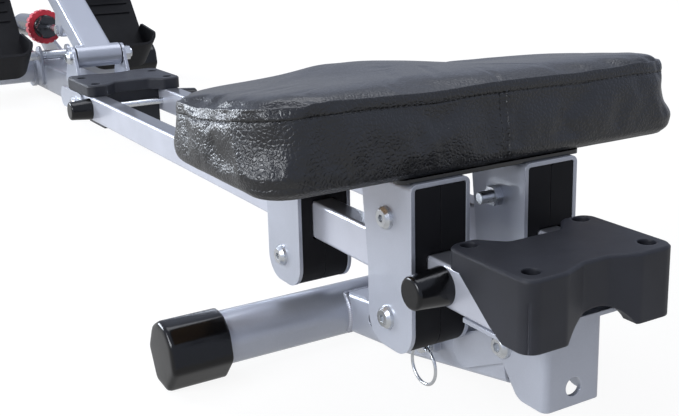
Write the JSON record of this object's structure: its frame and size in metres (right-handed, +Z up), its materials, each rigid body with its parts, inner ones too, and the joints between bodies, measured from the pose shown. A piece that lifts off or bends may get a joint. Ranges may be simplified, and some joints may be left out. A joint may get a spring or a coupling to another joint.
{
  "type": "rowing machine",
  "caption": "Hydraulic rowing machine: padded seat on rollers over twin sloping rails, a pull lever with its damper, tilting foot plates and a folding rear leg.",
  "frame": {"origin": "on the floor under the middle of the machine's length and width", "axes": "+X along the machine towards the rear end, where the seat stands; +Y to the machine's right seen from behind; +Z up from the floor"},
  "size_m": [1.367, 0.476, 0.2845],
  "materials": {
    "silver_paint": "satin silver paint",
    "black_paint": "gloss black paint",
    "rail_silver": "glossy silver paint",
    "black_plastic": "fine-grained satin",
    "block_plastic": "satin charcoal",
    "rubber": "glossy black",
    "vinyl": "grained vinyl",
    "board": "raw plywood",
    "zinc": "zinc plated",
    "chrome_rod": "polished",
    "roller_plastic": "smooth nylon",
    "dial_plastic": "smooth red",
    "foam": "foam grip",
    "webbing": "woven strap"
  },
  "bodies": {
    "frame": {"rail_left": "rail_silver", "rail_right": "rail_silver", "rear_end_block": "block_plastic", "front_end_block": "block_plastic", "rear_bracket": "silver_paint", "locking_arm": "silver_paint", "front_frame": "silver_paint", "front_foot_tube": "silver_paint", "front_foot_cap_left": "rubber", "front_foot_cap_right": "rubber", "lever_bracket": "silver_paint", "front_side_plates": "silver_paint", "stop_rods": "zinc", "stop_caps": "rubber", "end_block_screws": "zinc", "frame_bolts": "zinc", "cylinder_anchor": "silver_paint", "pedal_axle": "zinc", "leg_pivot_bolt": "zinc", "lever_pivot_bolt": "zinc"},
    "leg": {"rear_leg": "silver_paint", "rear_foot_tube": "silver_paint", "rear_foot_cap_left": "rubber", "rear_foot_cap_right": "rubber"},
    "lock_pin": {"pull_pin": "zinc"},
    "lock_ring": {"pull_ring": "zinc"},
    "carriage": {"seat_cushion": "vinyl", "seat_board": "board", "seat_plate": "black_paint", "seat_screws": "zinc", "roller_axles": "zinc", "channel_rear_left": "silver_paint", "channel_rear_right": "silver_paint", "channel_front_left": "silver_paint", "channel_front_right": "silver_paint", "roller_housing_rear_left": "black_plastic", "roller_housing_rear_right": "black_plastic", "roller_housing_front_left": "black_plastic", "roller_housing_front_right": "black_plastic"},
    "lever": {"lever_arm": "silver_paint", "lever_bushes": "black_plastic", "clevis_stubs": "zinc", "handlebar": "silver_paint", "handle_grip_left": "foam", "handle_grip_right": "foam"},
    "cylinder": {"cylinder_barrel": "black_paint"},
    "rod": {"cylinder_rod": "chrome_rod"},
    "dial": {"resistance_dial": "dial_plastic"},
    "pedal_left": {"pedal_left": "black_plastic", "pedal_strap_left": "webbing"},
    "pedal_right": {"pedal_right": "black_plastic", "pedal_strap_right": "webbing"},
    "roller_upper_rear_left": {"roller_upper_rear_left": "roller_plastic"},
    "roller_upper_rear_right": {"roller_upper_rear_right": "roller_plastic"},
    "roller_upper_front_left": {"roller_upper_front_left": "roller_plastic"},
    "roller_upper_front_right": {"roller_upper_front_right": "roller_plastic"},
    "roller_lower_rear_left": {"roller_lower_rear_left": "roller_plastic"},
    "roller_lower_rear_right": {"roller_lower_rear_right": "roller_plastic"},
    "roller_lower_front_left": {"roller_lower_front_left": "roller_plastic"},
    "roller_lower_front_right": {"roller_lower_front_right": "roller_plastic"}
  },
  "joints": [
    {"name": "seat_slide", "type": "slide", "parent": "frame", "child": "carriage", "axis": [0.9952, 0, 0.0976], "range_m": [-0.492, 0.003]},
    {"name": "lever_hinge", "type": "hinge", "parent": "frame", "child": "lever", "pos_m": [-0.27099, 0, 0.10299], "axis": [0, 1, 0], "range_deg": [0, 60]},
    {"name": "cylinder_swing", "type": "hinge", "parent": "frame", "child": "cylinder", "pos_m": [-0.66787, 0, 0.07212], "axis": [0, 1, 0], "range_deg": [-18, 0]},
    {"name": "rod_slide", "type": "slide", "parent": "cylinder", "child": "rod", "axis": [0.9882, 0, 0.1529], "range_m": [0, 0.117]},
    {"name": "resistance_turn", "type": "hinge", "parent": "cylinder", "child": "dial", "pos_m": [-0.53111, 0, 0.09327], "axis": [0.9882, 0, 0.1529], "range_deg": [0, 330]},
    {"name": "leg_hinge", "type": "hinge", "parent": "frame", "child": "leg", "pos_m": [0.62089, 0, 0.10272], "axis": [0, 1, 0], "range_deg": [0, 3.5]},
    {"name": "lock_pin_slide", "type": "slide", "parent": "leg", "child": "lock_pin", "axis": [0, -1, 0], "range_m": [0, 0.014]},
    {"name": "lock_ring_swing", "type": "hinge", "parent": "lock_pin", "child": "lock_ring", "pos_m": [0.54068, -0.0275, 0.06401], "axis": [0.9952, 0, 0.0976], "range_deg": [-90, 15]},
    {"name": "pedal_left_tilt", "type": "hinge", "parent": "frame", "child": "pedal_left", "pos_m": [-0.48571, -0.094, 0.05883], "axis": [0, 1, 0], "range_deg": [-15, 15]},
    {"name": "pedal_right_tilt", "type": "hinge", "parent": "frame", "child": "pedal_right", "pos_m": [-0.48571, 0.094, 0.05883], "axis": [0, 1, 0], "range_deg": [-15, 15]},
    {"name": "roller_upper_rear_left_spin", "type": "hinge", "parent": "carriage", "child": "roller_upper_rear_left", "pos_m": [0.54862, -0.047, 0.17472], "axis": [0, 1, 0], "range_deg": [-1330, 20]},
    {"name": "roller_upper_rear_right_spin", "type": "hinge", "parent": "carriage", "child": "roller_upper_rear_right", "pos_m": [0.54862, 0.047, 0.17472], "axis": [0, 1, 0], "range_deg": [-1330, 20]},
    {"name": "roller_upper_front_left_spin", "type": "hinge", "parent": "carriage", "child": "roller_upper_front_left", "pos_m": [0.39635, -0.047, 0.15979], "axis": [0, 1, 0], "range_deg": [-1330, 20]},
    {"name": "roller_upper_front_right_spin", "type": "hinge", "parent": "carriage", "child": "roller_upper_front_right", "pos_m": [0.39635, 0.047, 0.15979], "axis": [0, 1, 0], "range_deg": [-1330, 20]},
    {"name": "roller_lower_rear_left_spin", "type": "hinge", "parent": "carriage", "child": "roller_lower_rear_left", "pos_m": [0.55549, -0.047, 0.10465], "axis": [0, 1, 0], "range_deg": [-20, 1500]},
    {"name": "roller_lower_rear_right_spin", "type": "hinge", "parent": "carriage", "child": "roller_lower_rear_right", "pos_m": [0.55549, 0.047, 0.10465], "axis": [0, 1, 0], "range_deg": [-20, 1500]},
    {"name": "roller_lower_front_left_spin", "type": "hinge", "parent": "carriage", "child": "roller_lower_front_left", "pos_m": [0.40322, -0.047, 0.08972], "axis": [0, 1, 0], "range_deg": [-20, 1500]},
    {"name": "roller_lower_front_right_spin", "type": "hinge", "parent": "carriage", "child": "roller_lower_front_right", "pos_m": [0.40322, 0.047, 0.08972], "axis": [0, 1, 0], "range_deg": [-20, 1500]}
  ],
  "couplings": [
    {"joint": "cylinder_swing", "follows": "lever_hinge", "ratio": -0.29298},
    {"joint": "rod_slide", "follows": "lever_hinge", "m_per_rad": 0.11081},
    {"joint": "roller_upper_rear_left_spin", "follows": "seat_slide", "rad_per_m": 46.948},
    {"joint": "roller_upper_rear_right_spin", "follows": "seat_slide", "rad_per_m": 46.948},
    {"joint": "roller_upper_front_left_spin", "follows": "seat_slide", "rad_per_m": 46.948},
    {"joint": "roller_upper_front_right_spin", "follows": "seat_slide", "rad_per_m": 46.948},
    {"joint": "roller_lower_rear_left_spin", "follows": "seat_slide", "rad_per_m": -52.91},
    {"joint": "roller_lower_rear_right_spin", "follows": "seat_slide", "rad_per_m": -52.91},
    {"joint": "roller_lower_front_left_spin", "follows": "seat_slide", "rad_per_m": -52.91},
    {"joint": "roller_lower_front_right_spin", "follows": "seat_slide", "rad_per_m": -52.91}
  ]
}
